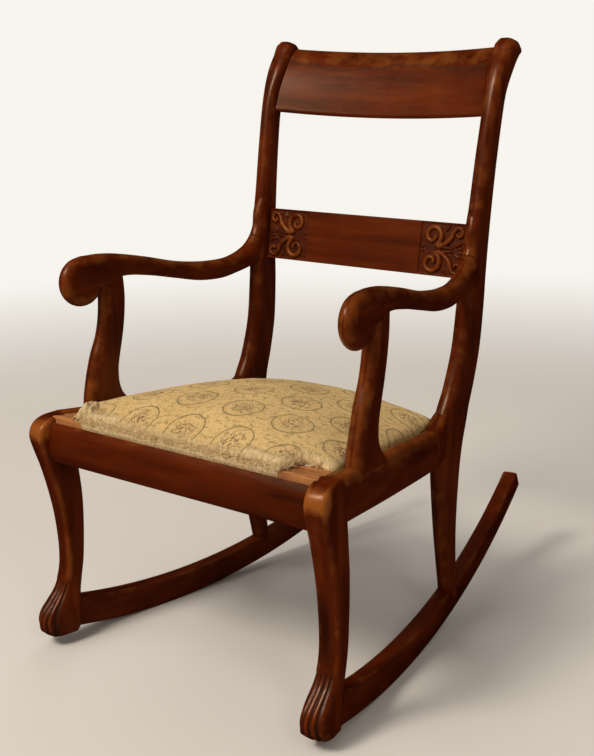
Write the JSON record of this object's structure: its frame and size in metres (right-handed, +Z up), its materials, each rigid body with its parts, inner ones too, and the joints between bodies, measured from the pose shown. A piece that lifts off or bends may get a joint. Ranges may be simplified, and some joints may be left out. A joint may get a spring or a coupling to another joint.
{
  "type": "rocking armchair",
  "caption": "Wooden rocking armchair with swept back posts, scrolled arms, paw feet joined to long bow runners, and an upholstered drop-in seat.",
  "frame": {"origin": "middle of the bounding box in plan, on the floor that the runners touch", "axes": "+Z up, the chair's front faces -Y, +X is the right-hand side seen from the front"},
  "size_m": [0.5638, 0.7702, 0.9102],
  "materials": {
    "mahogany": "red-brown mahogany, satin varnish worn brighter on tops and edges",
    "block_wood": "bare secondary wood",
    "dowel_wood": "bare split hardwood",
    "seat_frame_wood": "unvarnished wood, dusty",
    "webbing": "jute webbing",
    "hessian": "hessian cloth",
    "stuffing": "hair and wadding",
    "cover_fabric": "woven tapestry in beige, olive gold and rose brown"
  },
  "bodies": {
    "chair": {"left_stile": "mahogany", "right_stile": "mahogany", "left_front_leg": "mahogany", "right_front_leg": "mahogany", "left_side_rail": "mahogany", "right_side_rail": "mahogany", "left_rocker": "mahogany", "right_rocker": "mahogany", "left_arm": "mahogany", "right_arm": "mahogany", "left_arm_support": "mahogany", "right_arm_support": "mahogany", "front_rail": "mahogany", "back_rail": "mahogany", "crest_rail": "mahogany", "cross_rail": "mahogany", "left_front_corner_block": "block_wood", "right_front_corner_block": "block_wood", "left_back_corner_block": "block_wood", "right_back_corner_block": "block_wood", "arm_support_dowels": "dowel_wood", "runner_dowels": "dowel_wood"},
    "drop_in_seat": {"seat_frame_front": "seat_frame_wood", "seat_frame_back": "seat_frame_wood", "seat_frame_left": "seat_frame_wood", "seat_frame_right": "seat_frame_wood", "seat_webbing": "webbing", "seat_hessian": "hessian", "seat_stuffing": "stuffing", "seat_cover": "cover_fabric"}
  },
  "joints": [
    {"name": "seat_lift", "type": "slide", "parent": "chair", "child": "drop_in_seat", "axis": [0, 0.0817, 0.9967], "range_m": [0, 0.3]}
  ]
}
